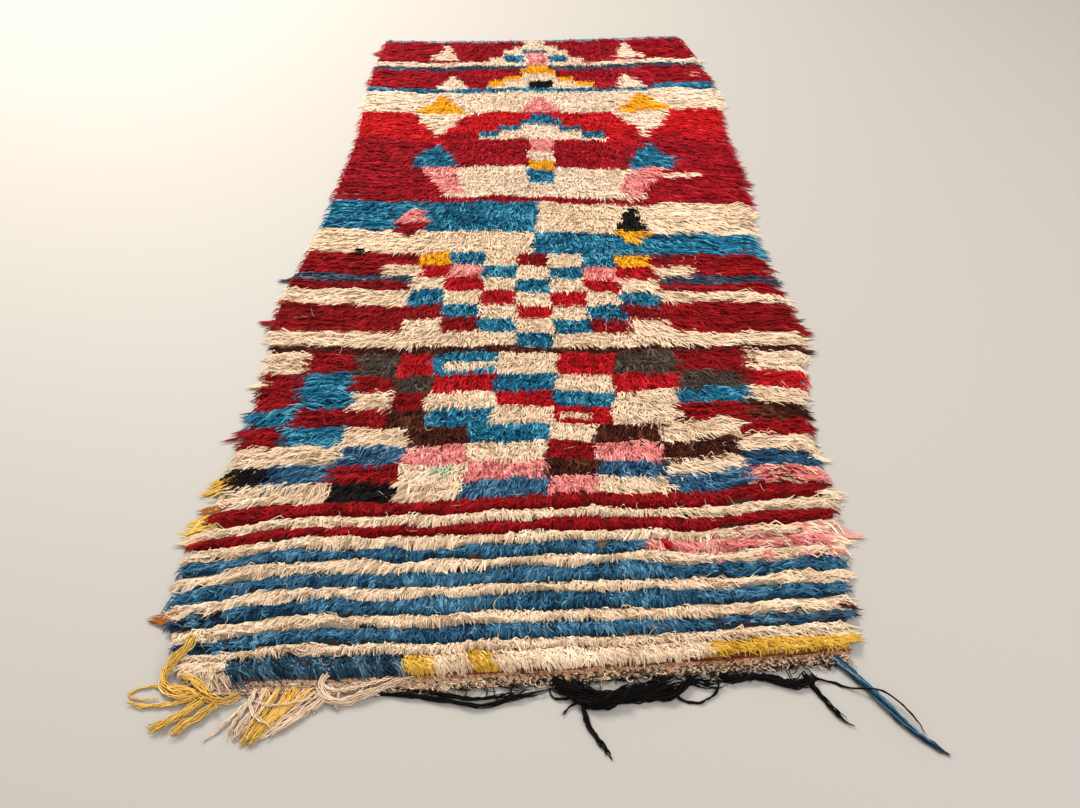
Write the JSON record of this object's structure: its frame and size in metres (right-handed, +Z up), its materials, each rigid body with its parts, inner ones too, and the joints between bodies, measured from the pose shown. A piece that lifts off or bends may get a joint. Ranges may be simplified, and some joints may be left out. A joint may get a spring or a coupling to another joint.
{
  "type": "boucherouite rug",
  "caption": "Flat hand-knotted pile rug with patchwork blocks, stripes and stepped motifs in many coloured yarns, and loose yarn tassels along one end.",
  "frame": {"origin": "under the middle of the bounding box, on the plane the rug lies on", "axes": "+Y along the rug towards its plain far end, +X across it, +Z up out of the pile"},
  "size_m": [1.347, 2.4926, 0.022],
  "materials": {
    "pile": "shaggy knotted wool and rag pile, matt, in red, cream, blue, yellow, pink, brown and black",
    "ground_weave": "plain-woven wool and cotton ground, matt",
    "slate_yarn": "thick slate-blue wool yarn, matt",
    "warp_ends": "twisted grey, cream and black warp ends, matt",
    "yellow_yarn": "loose yellow yarn, soft sheen",
    "cream_yarn": "loose cream wool yarn, matt",
    "black_yarn": "loose black wool yarn, matt",
    "blue_yarn": "loose blue wool yarn, matt"
  },
  "bodies": {
    "root": {"rug_field": "pile", "far_overcast": "slate_yarn", "end_fringe": "warp_ends", "yellow_yarn_root": "yellow_yarn", "yellow_yarn_loop": "yellow_yarn", "yellow_yarn_end_left": "yellow_yarn", "yellow_yarn_end_right": "yellow_yarn", "cream_yarn_strand": "cream_yarn", "cream_yarn_bundle": "cream_yarn", "cream_yarn_loop": "cream_yarn", "black_yarn_edge": "black_yarn", "black_yarn_middle": "black_yarn", "black_tassel_middle": "black_yarn", "black_yarn_loop": "black_yarn", "black_yarn_right": "black_yarn", "black_tassel_right": "black_yarn", "black_strand_right": "black_yarn", "blue_tassel": "blue_yarn"}
  },
  "joints": []
}
